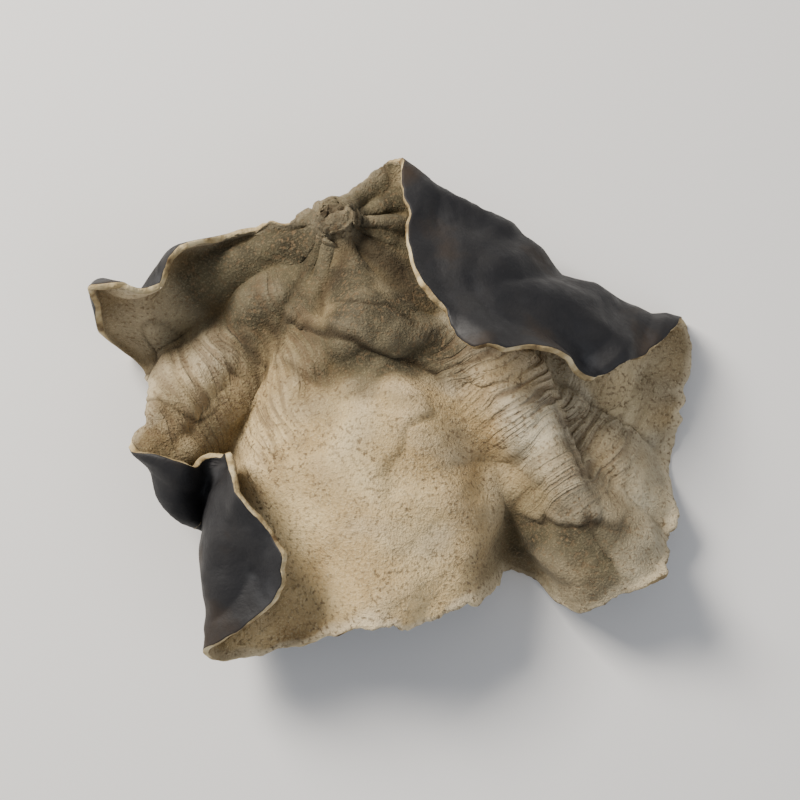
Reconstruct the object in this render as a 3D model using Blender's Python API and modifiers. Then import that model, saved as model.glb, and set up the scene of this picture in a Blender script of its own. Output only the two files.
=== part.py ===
"""Dried wood ear mushroom: one leathery fruit body, dried hard, as picked off its log.

The fruit body is one thin sheet that grew from a small nub of a foot. It was soft and flat-lobed when
fresh, and it dried into a fan: pleats run out from the foot, rolls cross them, and parts of the margin
curl over. It is modelled the same way. A flat outline is filled with a grid, each grid point is carried
along the pleated fan, the margin is curled, the whole is crumpled, and the sheet is given its thickness.

Run with: blender --background --python part.py
All lengths below are in millimetres and all angles in degrees. The scene is in metres.
+Z is up, +X runs to the broad side lobe, and -Y runs out from the foot to the front lobe.
"""

from collections import namedtuple
from math import cos, pi, radians, sin

import bmesh
import bpy
import numpy as np
from mathutils import Euler, Vector, noise

MM = 0.001
NODE = "fruit_body"

GRID = 44  # cells along each side of the grid that fills the sheet

SHEET = 1.1  # thickness of the dried sheet
MARGIN = 0.8  # thickness along its margin
MARGIN_START = 0.88  # share of the way from the middle to the margin where it thins
FOOT = 3.6  # thickness at the foot, where it was picked off the log
FOOT_SIZE = (6.0, 9.0)  # how far the foot spreads into the sheet, across and along
REST_TILT = (-0.25, -2.62)  # turns about X and Y that lay it on its lowest margins
FLATTENED = 0.9  # how much of its lowest points is pressed flat

# The flat sheet. The foot is at (0, 0), and the outline is a radius at each angle round the sheet's middle.
MIDDLE = (13.0, -33.0)
OUTLINE = (
    (0, 57), (16, 60), (32, 67), (46, 72), (60, 73), (74, 63), (90, 49), (104, 42), (118, 41),
    (131, 45), (146, 57), (155, 67), (162, 69), (169, 60), (178, 50), (189, 52), (199, 64),
    (208, 72), (222, 73), (236, 61), (252, 47), (270, 45), (286, 42), (297, 43), (310, 53),
    (325, 58), (340, 57), (350, 56),
)
NOTCH_DEPTH = 2.2  # the margin's own small notches
NOTCHES_ROUND = 5.0  # more makes them closer together

# Pleats run out from the foot: a ridge climbs by slope, a valley falls.
Pleat = namedtuple("Pleat", "angle half_width slope start sharpness")
PLEATS = (
    Pleat(196, 14, 16, 6, 1.3),
    Pleat(210, 10, -9, 8, 1.2),
    Pleat(226, 18, 10, 8, 1.4),
    Pleat(247, 13, -12, 12, 1.2),
    Pleat(272, 24, 7, 14, 1.0),
    Pleat(298, 12, -14, 24, 1.1),
    Pleat(313, 16, 7, 18, 1.0),
    Pleat(328, 12, -8, 26, 1.1),
    Pleat(341, 13, 6, 16, 1.2),
    Pleat(354, 26, -14, 8, 1.0),
)

# Rolls cross the pleats: the sheet tips up or down by slope where it is this far from the foot.
Roll = namedtuple("Roll", "angle half_width reach length slope")
ROLLS = (
    Roll(290, 40, 17, 6, 24),
    Roll(290, 40, 27, 3.6, -58),
    Roll(290, 40, 36, 6, 26),
    Roll(236, 28, 24, 4, -16),
    Roll(236, 28, 32, 5, 14),
    Roll(318, 22, 52, 5, -14),
    Roll(318, 22, 62, 5, 14),
)

# Curls turn the margin over beyond a bent line: up shows the dark face from above, and down hides it.
Curl = namedtuple("Curl", "angle reach bow along radius turn")
CURLS = (
    Curl(64, 9, 0.004, -38, 4.6, 168),
    Curl(201, 41, 0.008, 52, 4.6, 164),
    Curl(172, 39, 0.010, 22, 3.8, 85),
    Curl(117, 3.5, 0.009, 34, 3.8, 115),
    Curl(278, 77, 0.010, 8, 4.5, -70),
)

CURL_BASE = 12.0  # a curl stands off the sheet's general run, taken over this distance to each side
CURL_UPRIGHT = 0.8  # and leans this much towards straight up

# The general run of a fibre, as slopes.
FOOT_SLOPE = -34.0  # steep beside the foot
FOOT_SLOPE_END = 9.0  # how far out that lasts
CROWN_SLOPE = 5.0  # rising a little after it
DROOP = -20.0  # then drooping
DROOP_RUN = (12.0, 60.0)  # from this far out, over this distance
FRONT = (285.0, 120.0)  # angle and half width of the front
BACK_DROOP = -10.0  # the rest droops this much more
RIDGE = (284.0, 62.0)  # angle and half width of the ridge that runs down from the foot
SHOULDER = -14.0  # the sheet falls away beside that ridge
SHOULDER_RUN = (6.0, 12.0, 16.0)  # full after this distance, fading from the second, over the third
PLEAT_RUN = 12.0  # a pleat comes in over this distance

# The margin ruffles in waves round the front, least on the front lobe.
RUFFLE = 8.0
RUFFLE_RUN = (30.0, 34.0)
RUFFLE_WAVES = ((17, 1.0, 1.3, 3, 0.4), (27, 0.4, 2.0, 2, 1.0))  # waves round, share, and how they drift
FRONT_LOBE = (268.0, 30.0)
LOBE_CALM = 0.7

# Fibres sway to the side by so many degrees, from and over these distances.
SWAY_START = 10.0
SWAY_BROAD = (3.0, 5, 0.7, 50.0)  # degrees, waves round, phase, over
SWAY_FINE = (2.5, 3, 11.0, 40.0)  # degrees, waves round, length of a wave, over

# Folds cross the whole sheet as rounded zigzags, each set running its own way and fading in and out.
Fold = namedtuple("Fold", "angle spacing height phase")
FOLDS = (
    Fold(15, 21, 1.5, 0.6),
    Fold(75, 17, 1.1, 2.1),
    Fold(128, 12, 0.6, 4.0),
    Fold(160, 9, 0.3, 1.3),
)
FOLD_CREST = 0.985  # 1 is a knife edge, 0 a round wave
FOLD_WARP = (5.0, 17.0, 3.0)  # how far, over what size, and which noise bends the folds
FOLD_PATCH = (0.5, 1.6, 1.6)  # share of the sheet, contrast and size of the patches that a set shows in
FOLD_START = 18.0  # folds reach full height this far from the foot
RIDGE_START = 40.0  # and on the ridge that runs down from it, this far
FOLD_CALM = (266.0, 40.0, 0.75, 30.0, 12.0)  # calm front lobe: angle, half width, share, from, over
GATHERS = ((7, 0.45, 2.2, 2, 1.0), (13, 0.3, 1.7, 3, 0.0))  # pleats at the foot: waves, height, drift
GATHERS_RUN = (6.0, 8.0, 20.0)  # full after this distance, fading from the second, over the third

FIBRE_STEP = 0.5
FIBRE_END = 112.0
FIBRES = 1080


def smooth(x):
    x = np.clip(x, 0, 1)
    return x * x * (3 - 2 * x)


def nearness(angle, centre, half_width, sharpness=1.0):
    """1 at the centre angle, falling to 0 at half_width degrees from it."""
    away = np.abs((angle - radians(centre) + pi) % (2 * pi) - pi) / radians(half_width)
    return (0.5 + 0.5 * np.cos(pi * np.clip(away, 0, 1))) ** sharpness


def outline_radius(angle):
    """The outline's radius by a smooth closed curve through its points, with the margin's small notches."""
    at = np.radians([a for a, _ in OUTLINE])
    size = np.array([r for _, r in OUTLINE], float)
    at = np.concatenate([at - 2 * pi, at, at + 2 * pi])
    size = np.tile(size, 3)
    lean = np.gradient(size, at)
    angle = np.mod(angle, 2 * pi)
    i = np.searchsorted(at, angle, side="right") - 1
    h = at[i + 1] - at[i]
    t = (angle - at[i]) / h
    radius = (
        (2 * t**3 - 3 * t**2 + 1) * size[i]
        + (t**3 - 2 * t**2 + t) * h * lean[i]
        + (3 * t**2 - 2 * t**3) * size[i + 1]
        + (t**3 - t**2) * h * lean[i + 1]
    )
    around = [Vector((cos(a), sin(a), 0.2)) * NOTCHES_ROUND for a in angle]
    return radius + NOTCH_DEPTH * np.array([noise.fractal(p, 0.8, 2.0, 3) for p in around])


def flat_sheet(u, v):
    """A square of -1 to 1 carried onto the flat outline."""
    a = u * np.sqrt(1 - v * v / 2)
    b = v * np.sqrt(1 - u * u / 2)
    share = np.sqrt(a * a + b * b)
    angle = np.arctan2(b, a)
    radius = share * outline_radius(angle)
    return MIDDLE[0] + radius * np.cos(angle), MIDDLE[1] + radius * np.sin(angle), share


def curled(x, y):
    """Where a flat point goes when the margin curls, and how far off the sheet it then stands."""
    lift = np.zeros_like(x)
    for c in CURLS:
        out = (cos(radians(c.angle)), sin(radians(c.angle)))
        along = x * -out[1] + y * out[0] - c.along
        beyond = x * out[0] + y * out[1] - c.reach - c.bow * along**2
        over = np.maximum(beyond, 0)
        turn = radians(abs(c.turn))
        bent = np.minimum(over / c.radius, turn)
        straight = np.maximum(over - c.radius * turn, 0)
        moved = c.radius * np.sin(bent) + straight * cos(turn)
        lift = lift + np.sign(c.turn) * (c.radius * (1 - np.cos(bent)) + straight * sin(turn))
        shift = np.where(beyond > 0, moved - beyond, 0)
        x = x + out[0] * shift
        y = y + out[1] * shift
    return x, y, lift


def drifting(angle, waves, drift, drift_waves, phase):
    """A wave round the foot whose spacing drifts."""
    return np.sin(waves * angle + drift * np.sin(drift_waves * angle + phase))


def fibre_slope(s, angle):
    """How steeply the sheet climbs away from the foot, in radians, s along a straight line out from it."""
    front = nearness(angle, *FRONT)
    crown = smooth(s / FOOT_SLOPE_END)
    slope = FOOT_SLOPE * (1 - crown) + CROWN_SLOPE * crown
    slope = slope + DROOP * smooth((s - DROOP_RUN[0]) / DROOP_RUN[1])
    slope = slope + BACK_DROOP * (1 - front) * crown
    full, fading, over = SHOULDER_RUN
    beside = (1 - nearness(angle, *RIDGE)) * smooth(s / full) * (1 - smooth((s - fading) / over))
    slope = slope + SHOULDER * beside
    for r in ROLLS:
        wave = np.exp(-(((s - r.reach) / r.length) ** 2))
        slope = slope + r.slope * nearness(angle, r.angle, r.half_width) * wave
    for p in PLEATS:
        ridge = nearness(angle, p.angle, p.half_width, p.sharpness)
        slope = slope + p.slope * ridge * smooth((s - p.start) / PLEAT_RUN)
    ruffle = sum(size * drifting(angle, waves, *drift) for waves, size, *drift in RUFFLE_WAVES)
    calm = 1 - LOBE_CALM * nearness(angle, *FRONT_LOBE)
    slope = slope + RUFFLE * ruffle * smooth((s - RUFFLE_RUN[0]) / RUFFLE_RUN[1]) * front**0.5 * calm
    return np.radians(slope)


def pleated_table():
    """How far out and how high every point of every fibre comes, by fibre and distance along it."""
    s = np.arange(0, FIBRE_END, FIBRE_STEP)
    angle = np.linspace(-pi, pi, FIBRES + 1)
    slope = fibre_slope(*np.meshgrid(s + FIBRE_STEP / 2, angle))
    start = np.zeros((len(angle), 1))
    out = np.concatenate([start, np.cumsum(np.cos(slope), 1)[:, :-1]], 1) * FIBRE_STEP
    up = np.concatenate([start, np.cumsum(np.sin(slope), 1)[:, :-1]], 1) * FIBRE_STEP
    return out, up


TABLE = pleated_table()


def on_fan(x, y):
    """The point of the pleated fan that a flat point lands on."""
    s = np.hypot(x, y)
    angle = np.arctan2(y, x)
    row = (angle + pi) / (2 * pi) * FIBRES
    column = s / FIBRE_STEP
    i = np.clip(row.astype(int), 0, FIBRES - 1)
    j = np.clip(column.astype(int), 0, TABLE[0].shape[1] - 2)
    a, b = row - i, column - j
    out, up = (
        (t[i, j] * (1 - a) + t[i + 1, j] * a) * (1 - b) + (t[i, j + 1] * (1 - a) + t[i + 1, j + 1] * a) * b
        for t in TABLE
    )
    degrees, waves, phase, over = SWAY_BROAD
    sway = radians(degrees) * np.sin(waves * angle + phase) * smooth((s - SWAY_START) / over)
    degrees, waves, length, over = SWAY_FINE
    sway = sway + radians(degrees) * np.sin(s / length + waves * angle) * smooth((s - SWAY_START) / over)
    return np.stack([out * np.cos(angle + sway), out * np.sin(angle + sway), up], -1)


def dried_sheet(x, y):
    """The dried shape of the flat sheet's points, before it is crumpled."""
    x, y, lift = curled(x, y)
    across = on_fan(x + CURL_BASE, y) - on_fan(x - CURL_BASE, y)
    along = on_fan(x, y + CURL_BASE) - on_fan(x, y - CURL_BASE)
    away = np.cross(across, along)
    away /= np.linalg.norm(away, axis=-1, keepdims=True)
    away[..., 2] += CURL_UPRIGHT
    away /= np.linalg.norm(away, axis=-1, keepdims=True)
    return on_fan(x, y) + away * lift[..., None]


def noise_at(x, y, size, seed, octaves=1):
    """Smooth noise about 0 on the flat sheet, its cells this size."""
    shift = Vector((seed, 0.31 * seed, 0.57 * seed))
    spots = (Vector((a, b, 0)) / size + shift for a, b in zip(x, y))
    if octaves == 1:
        return np.array([noise.noise(p) for p in spots])
    return np.array([noise.fractal(p, 1.0, 2.0, octaves) for p in spots])


def crumple(x, y):
    """Crisp folds and flat facets over the whole sheet, quiet near the foot and on the front lobe."""
    s = np.hypot(x, y)
    angle = np.arctan2(y, x)
    far, size, seed = FOLD_WARP
    warp = far * noise_at(x, y, size, seed, 2)
    share, contrast, patch = FOLD_PATCH
    folded = np.zeros_like(s)
    for f in FOLDS:
        across = x * cos(radians(f.angle)) + y * sin(radians(f.angle)) + warp
        wave = np.arcsin(FOLD_CREST * np.sin(2 * pi * across / f.spacing + f.phase)) / np.arcsin(FOLD_CREST)
        shown = noise_at(x, y, patch * f.spacing, 10 * f.phase + f.spacing)
        folded += f.height * wave * smooth(share + contrast * shown)
    centre, half_width, quiet, start, over = FOLD_CALM
    calm = 1 - quiet * nearness(angle, centre, half_width) * smooth((s - start) / over)
    full, fading, over = GATHERS_RUN
    gathers = sum(height * drifting(angle, waves, *drift) for waves, height, *drift in GATHERS)
    gathers = gathers * smooth(s / full) * (1 - smooth((s - fading) / over))
    start = FOLD_START + (RIDGE_START - FOLD_START) * nearness(angle, *RIDGE)
    return folded * smooth(s / start) * calm + gathers


def thickness(x, y, share):
    """The sheet's thickness: even, thinner along the margin, and heaped into the nub over the foot."""
    even = SHEET - (SHEET - MARGIN) * smooth((share - MARGIN_START) / (1 - MARGIN_START))
    return even + (FOOT - SHEET) * (1 - smooth(np.hypot(x / FOOT_SIZE[0], y / FOOT_SIZE[1])))


def finish(name, colour, roughness):
    """A plain material in one colour."""
    made = bpy.data.materials.new(name)
    made.use_nodes = True
    shader = made.node_tree.nodes["Principled BSDF"]
    shader.inputs["Base Color"].default_value = (*colour, 1)
    shader.inputs["Roughness"].default_value = roughness
    shader.inputs["Metallic"].default_value = 0
    return made


def sheet_object(collection):
    """The dried sheet as an open surface, its normals on the pale side, given its thickness by Solidify."""
    grid = bmesh.new()
    bmesh.ops.create_grid(grid, x_segments=GRID, y_segments=GRID, size=1)
    mesh = bpy.data.meshes.new(NODE)
    grid.to_mesh(mesh)
    grid.free()
    square = np.array([v.co for v in mesh.vertices])
    x, y, share = flat_sheet(square[:, 0], square[:, 1])
    points = dried_sheet(x, y)
    mesh.vertices.foreach_set("co", points.ravel())
    mesh.update()
    normals = np.array([v.normal for v in mesh.vertices])
    points = points + normals * crumple(x, y)[:, None]
    mesh.vertices.foreach_set("co", (points * MM).ravel())
    mesh.update()
    mesh.shade_smooth()
    mesh.materials.append(finish("pale_felt", (0.43, 0.34, 0.23), 0.85))
    mesh.materials.append(finish("dark_spore_face", (0.02, 0.018, 0.02), 0.45))

    sheet = bpy.data.objects.new(NODE, mesh)
    collection.objects.link(sheet)
    thick = sheet.vertex_groups.new(name="thickness")
    for i, size in enumerate(thickness(x, y, share)):
        thick.add([i], size / FOOT, "REPLACE")
    solidify = sheet.modifiers.new("Thickness", "SOLIDIFY")
    solidify.thickness = FOOT * MM
    solidify.vertex_group = thick.name
    solidify.offset = 1
    solidify.material_offset = 1
    return sheet


def rested(sheet):
    """Turns the solid to the way it lies, brings it down, and flattens what presses on the surface."""
    depsgraph = bpy.context.evaluated_depsgraph_get()
    mesh = bpy.data.meshes.new_from_object(sheet.evaluated_get(depsgraph))
    mesh.transform(Euler((radians(REST_TILT[0]), radians(REST_TILT[1]), 0)).to_matrix().to_4x4())
    points = np.array([v.co for v in mesh.vertices])
    low, high = points.min(0), points.max(0)
    points -= ((low[0] + high[0]) / 2, (low[1] + high[1]) / 2, low[2] + FLATTENED * MM)
    points[:, 2] = np.maximum(points[:, 2], 0)
    mesh.vertices.foreach_set("co", points.ravel())
    mesh.update()
    sheet.modifiers.clear()
    sheet.data = mesh


def main():
    for old in list(bpy.data.objects):
        bpy.data.objects.remove(old)
    collection = bpy.data.collections.new("dried_wood_ear")
    bpy.context.scene.collection.children.link(collection)
    rested(sheet_object(collection))


main()
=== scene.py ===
"""Dried wood ear mushroom: the finished look of one leathery fruit body, picked off its log and dried hard.

The fruit body is one thin sheet that grew from a small foot and dried into a fan: pleats run out from the foot, rolls
cross them, and parts of the margin curl over. It is modelled the same way. A flat outline is filled with a fine grid,
the grid is carried along the pleated fan, curled and crumpled, and then given its thickness, its rounded margin, its
creases and its fine wrinkles.

Lengths are in millimetres and angles in degrees, up to the point where a mesh is written in metres.
"""

from __future__ import annotations

import logging
from dataclasses import dataclass, field
from enum import Enum
from math import cos, inf, pi, radians, sin
from typing import NamedTuple

import bmesh
import bpy
import numpy as np
from mathutils import Euler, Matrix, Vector, noise


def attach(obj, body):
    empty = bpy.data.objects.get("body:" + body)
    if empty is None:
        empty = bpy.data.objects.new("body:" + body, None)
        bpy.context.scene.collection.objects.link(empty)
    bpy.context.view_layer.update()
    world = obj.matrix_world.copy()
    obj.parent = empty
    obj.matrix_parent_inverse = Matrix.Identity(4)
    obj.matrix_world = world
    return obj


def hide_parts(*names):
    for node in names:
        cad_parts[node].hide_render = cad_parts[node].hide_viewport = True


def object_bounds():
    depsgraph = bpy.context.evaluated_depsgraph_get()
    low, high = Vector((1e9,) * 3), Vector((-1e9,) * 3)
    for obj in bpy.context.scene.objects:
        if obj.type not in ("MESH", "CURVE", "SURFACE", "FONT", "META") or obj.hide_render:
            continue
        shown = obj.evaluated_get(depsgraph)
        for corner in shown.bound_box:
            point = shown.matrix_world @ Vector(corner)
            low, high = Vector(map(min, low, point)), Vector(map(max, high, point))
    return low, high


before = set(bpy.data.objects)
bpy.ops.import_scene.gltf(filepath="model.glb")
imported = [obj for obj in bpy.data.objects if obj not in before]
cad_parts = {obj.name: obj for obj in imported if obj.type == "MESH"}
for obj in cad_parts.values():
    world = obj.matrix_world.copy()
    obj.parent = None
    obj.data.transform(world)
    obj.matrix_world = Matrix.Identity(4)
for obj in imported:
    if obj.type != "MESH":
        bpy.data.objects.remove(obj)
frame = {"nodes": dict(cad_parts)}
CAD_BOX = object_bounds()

logging.basicConfig(level=logging.INFO, format="%(name)s: %(message)s")
log = logging.getLogger("wood_ear")

MM = 0.001
Array = np.ndarray
Pair = tuple[float, float]
Triple = tuple[float, float, float]
Pairs = tuple[Pair, ...]


# ---------------------------------------------------------------------------------------------- helpers


def linear(colour: str, alpha: float = 1.0) -> tuple[float, float, float, float]:
    """Turns an sRGB hex colour into the linear values that a shader takes.

    Args:
        colour: the colour, such as "#C8B491".
        alpha: the fourth value.

    Returns:
        Linear red, green and blue, and alpha.
    """
    shares = [int(colour[i : i + 2], 16) / 255 for i in (1, 3, 5)]
    red, green, blue = (c / 12.92 if c <= 0.04045 else ((c + 0.055) / 1.055) ** 2.4 for c in shares)
    return red, green, blue, alpha


def smooth(x: Array) -> Array:
    """Rises from 0 to 1 with level ends as x goes from 0 to 1."""
    x = np.clip(x, 0, 1)
    return x * x * (3 - 2 * x)


def nearness(angle: Array, centre: float, half_width: float, sharpness: float = 1.0) -> Array:
    """Measures how near an angle is to a centre angle.

    Args:
        angle: the angles, in radians.
        centre: the centre angle, in degrees.
        half_width: where the result reaches 0, in degrees from the centre.
        sharpness: 1 for a round bump, more for a narrower crest.

    Returns:
        1 at the centre, falling to 0.
    """
    away = np.abs((angle - radians(centre) + pi) % (2 * pi) - pi) / radians(half_width)
    return (0.5 + 0.5 * np.cos(pi * np.clip(away, 0, 1))) ** sharpness


def unit(vectors: Array) -> Array:
    """Scales each vector to length 1."""
    return vectors / np.maximum(np.linalg.norm(vectors, axis=-1, keepdims=True), 1e-12)


def drifting(angle: Array, waves: float, drift: float, drift_waves: float, phase: float) -> Array:
    """Makes a wave round the foot whose spacing drifts.

    Args:
        angle: the angles, in radians.
        waves: how many waves go round.
        drift: how far, in radians of a wave, the spacing drifts.
        drift_waves: how many times round it drifts.
        phase: where the drift starts.

    Returns:
        -1 to 1, one value an angle.
    """
    return np.sin(waves * angle + drift * np.sin(drift_waves * angle + phase))


@dataclass(frozen=True)
class Flat:
    """Places on the flat sheet, before it dried: how far across and along from the foot."""

    x: Array
    y: Array

    @property
    def s(self) -> Array:
        """Measures how far the places are from the foot."""
        return np.hypot(self.x, self.y)

    @property
    def angle(self) -> Array:
        """Measures where they are round the foot, in radians."""
        return np.arctan2(self.y, self.x)

    def moved(self, x: Array | float, y: Array | float) -> Flat:
        """Shifts the places across and along."""
        return Flat(self.x + x, self.y + y)

    def noise(self, size: float, seed: float, octaves: int = 1) -> Array:
        """Evaluates smooth noise at the places.

        Args:
            size: the length of one noise cell.
            seed: moves the noise to another place.
            octaves: how many sizes are added up, each half the last.

        Returns:
            Noise about 0, one value a place.
        """
        shift = Vector((seed, 0.31 * seed, 0.57 * seed))
        spots = (Vector((a, b, 0)) / size + shift for a, b in zip(self.x, self.y))
        if octaves == 1:
            return np.array([noise.noise(p) for p in spots])
        return np.array([noise.fractal(p, 1.0, 2.0, octaves) for p in spots])


@dataclass(frozen=True)
class Patch:
    """A part of the sheet: a sector round the foot, which comes in at one distance and goes at another."""

    strength: float
    angle: float = 0.0
    half_width: float = inf
    start: float = -inf
    over: float = 1.0
    end: float = inf
    fade: float = 1.0

    def at(self, s: Array, angle: Array) -> Array:
        """Says how far places at s and angle, in radians, belong to the patch: its strength inside, 0 outside."""
        sector = self.strength * nearness(angle, self.angle, self.half_width)
        return sector * smooth((s - self.start) / self.over) * (1 - smooth((s - self.end) / self.fade))


# ---------------------------------------------------------------------------------------------- form


@dataclass(frozen=True)
class Outline:
    """The flat sheet's outline: a radius at each angle round its middle, with the margin's small notches."""

    middle: Pair = (13.0, -33.0)
    points: Pairs = (
        (0, 57), (16, 60), (32, 67), (46, 72), (60, 73), (74, 63), (90, 49), (104, 42), (118, 41),
        (131, 45), (146, 57), (155, 67), (162, 69), (169, 60), (178, 50), (189, 52), (199, 64),
        (208, 72), (222, 73), (236, 61), (252, 47), (270, 45), (286, 42), (297, 43), (310, 53),
        (325, 58), (340, 57), (350, 56),
    )  # fmt: skip
    notch_depth: float = 2.2
    notches_round: float = 5.0  # more makes them closer together
    nick_depth: float = 0.45
    nicks_round: float = 34.0
    rim_width: float = 1.9
    rim_uneven: float = 1.2
    rim_size: float = 9.0

    def radius(self, angle: Array) -> Array:
        """Reads the outline's radius off a smooth closed curve through its points.

        Args:
            angle: angles round the middle, in radians.

        Returns:
            The radius at each angle, in millimetres.
        """
        at = np.radians([a for a, _ in self.points])
        size = np.array([r for _, r in self.points], float)
        at = np.concatenate([at - 2 * pi, at, at + 2 * pi])
        size = np.tile(size, 3)
        lean = np.gradient(size, at)
        angle = np.mod(angle, 2 * pi)
        i = np.searchsorted(at, angle, side="right") - 1
        h = at[i + 1] - at[i]
        t = (angle - at[i]) / h
        radius = (
            (2 * t**3 - 3 * t**2 + 1) * size[i]
            + (t**3 - 2 * t**2 + t) * h * lean[i]
            + (3 * t**2 - 2 * t**3) * size[i + 1]
            + (t**3 - t**2) * h * lean[i + 1]
        )
        around = [Vector((cos(a), sin(a), 0.2)) for a in angle]
        notches = np.array([noise.fractal(p * self.notches_round, 0.8, 2.0, 3) for p in around])
        nicks = np.array([noise.fractal(p * self.nicks_round, 0.8, 2.0, 2) for p in around])
        return radius + self.notch_depth * notches + self.nick_depth * nicks

    def fill(self, u: Array, v: Array) -> tuple[Flat, Array]:
        """Carries a square onto the flat sheet.

        Args:
            u: first place in the square, -1 to 1.
            v: second place in the square.

        Returns:
            The flat places, and the share of the way from the middle to the margin.
        """
        a = u * np.sqrt(1 - v * v / 2)
        b = v * np.sqrt(1 - u * u / 2)
        share = np.sqrt(a * a + b * b)
        angle = np.arctan2(b, a)
        radius = share * self.radius(angle)
        return Flat(self.middle[0] + radius * np.cos(angle), self.middle[1] + radius * np.sin(angle)), share

    def rim(self, flat: Flat, share: Array) -> Array:
        """Says where the felt is paler along the margin, in a band of uneven width: partly rubbed hairs, partly painted
        highlight.

        Args:
            flat: the flat places.
            share: their share of the way from the middle to the margin.

        Returns:
            1 at the margin, falling to 0 inside it.
        """
        from_middle = np.hypot(flat.x - self.middle[0], flat.y - self.middle[1])
        inside = from_middle / np.maximum(share, 0.01) * (1 - share)
        width = self.rim_width * (1 + self.rim_uneven * flat.noise(self.rim_size, 67, 2))
        return (1 - smooth(inside / np.maximum(width, 0.3) - 0.4)) * smooth(3 * share - 1)


@dataclass(frozen=True)
class Pleat:
    """A ridge or valley that runs out from the foot: it climbs by slope, or falls if slope is negative."""

    angle: float
    half_width: float
    slope: float
    start: float
    sharpness: float


@dataclass(frozen=True)
class Roll:
    """A wave that crosses the pleats: the sheet tips by slope where it is this far from the foot."""

    angle: float
    half_width: float
    reach: float
    length: float
    slope: float


@dataclass
class Fan:
    """The pleated fan that the sheet dried into, as fibres that run straight out from the foot."""

    pleats: tuple[Pleat, ...] = (
        Pleat(196, 14, 16, 6, 1.3),
        Pleat(210, 10, -9, 8, 1.2),
        Pleat(226, 18, 10, 8, 1.4),
        Pleat(247, 13, -12, 12, 1.2),
        Pleat(272, 24, 7, 14, 1.0),
        Pleat(298, 12, -14, 24, 1.1),
        Pleat(313, 16, 7, 18, 1.0),
        Pleat(328, 12, -8, 26, 1.1),
        Pleat(341, 13, 6, 16, 1.2),
        Pleat(354, 26, -14, 8, 1.0),
    )
    rolls: tuple[Roll, ...] = (
        Roll(290, 40, 17, 6, 24),
        Roll(290, 40, 27, 3.6, -58),
        Roll(290, 40, 36, 6, 26),
        Roll(236, 28, 24, 4, -16),
        Roll(236, 28, 32, 5, 14),
        Roll(318, 22, 52, 5, -14),
        Roll(318, 22, 62, 5, 14),
    )
    pleat_run: float = 12.0  # a pleat comes in over this distance

    # The general run of a fibre, as slopes: steep beside the foot, rising a little after it, then drooping.
    foot_slope: float = -34.0
    foot_slope_end: float = 9.0
    crown_slope: float = 5.0
    droop: float = -20.0
    droop_run: Pair = (12.0, 60.0)  # from this far out, over this distance
    front: Pair = (285.0, 120.0)  # angle and half width
    back_droop: float = -10.0
    ridge: Pair = (284.0, 62.0)  # the ridge that runs down from the foot
    shoulder: Patch = Patch(-14, start=0, over=6, end=12, fade=16)  # the sheet falls away beside that ridge

    # The margin ruffles in waves round the front, least on the front lobe.
    ruffle: Patch = Patch(8, start=30, over=34)
    ruffle_waves: tuple[tuple[float, ...], ...] = ((17, 1.0, 1.3, 3, 0.4), (27, 0.4, 2.0, 2, 1.0))
    front_lobe: Patch = Patch(0.7, 268, 30)

    # Fibres sway to the side: by how many degrees, waves round, phase, the length of a wave along, and over how far.
    sway_start: float = 10.0
    sways: tuple[tuple[float, ...], ...] = ((3.0, 5, 0.7, inf, 50.0), (2.5, 3, 0.0, 11.0, 40.0))

    step: float = 0.5
    reach: float = 112.0
    fibres: int = 1080
    table: tuple[Array, Array] = field(init=False, repr=False)

    def __post_init__(self) -> None:
        """Adds up every fibre's steps, out and up, once."""
        s = np.arange(0, self.reach, self.step)
        angle = np.linspace(-pi, pi, self.fibres + 1)
        slope = self.slope(*np.meshgrid(s + self.step / 2, angle))
        start = np.zeros((len(angle), 1))
        out = np.concatenate([start, np.cumsum(np.cos(slope), 1)[:, :-1]], 1) * self.step
        up = np.concatenate([start, np.cumsum(np.sin(slope), 1)[:, :-1]], 1) * self.step
        self.table = out, up

    def slope(self, s: Array, angle: Array) -> Array:
        """Says how steeply the sheet climbs away from the foot.

        Args:
            s: distance along the fibre.
            angle: the fibre's angle, in radians.

        Returns:
            The slope, in radians.
        """
        front = nearness(angle, *self.front)
        crown = smooth(s / self.foot_slope_end)
        slope = self.foot_slope * (1 - crown) + self.crown_slope * crown
        slope = slope + self.droop * smooth((s - self.droop_run[0]) / self.droop_run[1])
        slope = slope + self.back_droop * (1 - front) * crown
        slope = slope + self.shoulder.at(s, angle) * (1 - nearness(angle, *self.ridge))
        for r in self.rolls:
            wave = np.exp(-(((s - r.reach) / r.length) ** 2))
            slope = slope + r.slope * nearness(angle, r.angle, r.half_width) * wave
        for p in self.pleats:
            ridge = nearness(angle, p.angle, p.half_width, p.sharpness)
            slope = slope + p.slope * ridge * smooth((s - p.start) / self.pleat_run)
        ruffle = sum(size * drifting(angle, waves, *drift) for waves, size, *drift in self.ruffle_waves)
        ruffle = ruffle * self.ruffle.at(s, angle) * (1 - self.front_lobe.at(s, angle))
        slope = slope + ruffle * front**0.5
        return np.radians(slope)

    def at(self, flat: Flat) -> Array:
        """Finds where flat places come to lie on the fan.

        Args:
            flat: the flat places.

        Returns:
            Points, one row of three a place.
        """
        s, angle = flat.s, flat.angle
        row = (angle + pi) / (2 * pi) * self.fibres
        column = s / self.step
        i = np.clip(row.astype(int), 0, self.fibres - 1)
        j = np.clip(column.astype(int), 0, self.table[0].shape[1] - 2)
        a, b = row - i, column - j
        out, up = (
            (t[i, j] * (1 - a) + t[i + 1, j] * a) * (1 - b) + (t[i, j + 1] * (1 - a) + t[i + 1, j + 1] * a) * b
            for t in self.table
        )
        sway = np.zeros_like(s)
        for degrees, waves, phase, length, over in self.sways:
            wave = np.sin(s / length + waves * angle + phase)
            sway += radians(degrees) * wave * smooth((s - self.sway_start) / over)
        return np.stack([out * np.cos(angle + sway), out * np.sin(angle + sway), up], -1)


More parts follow.
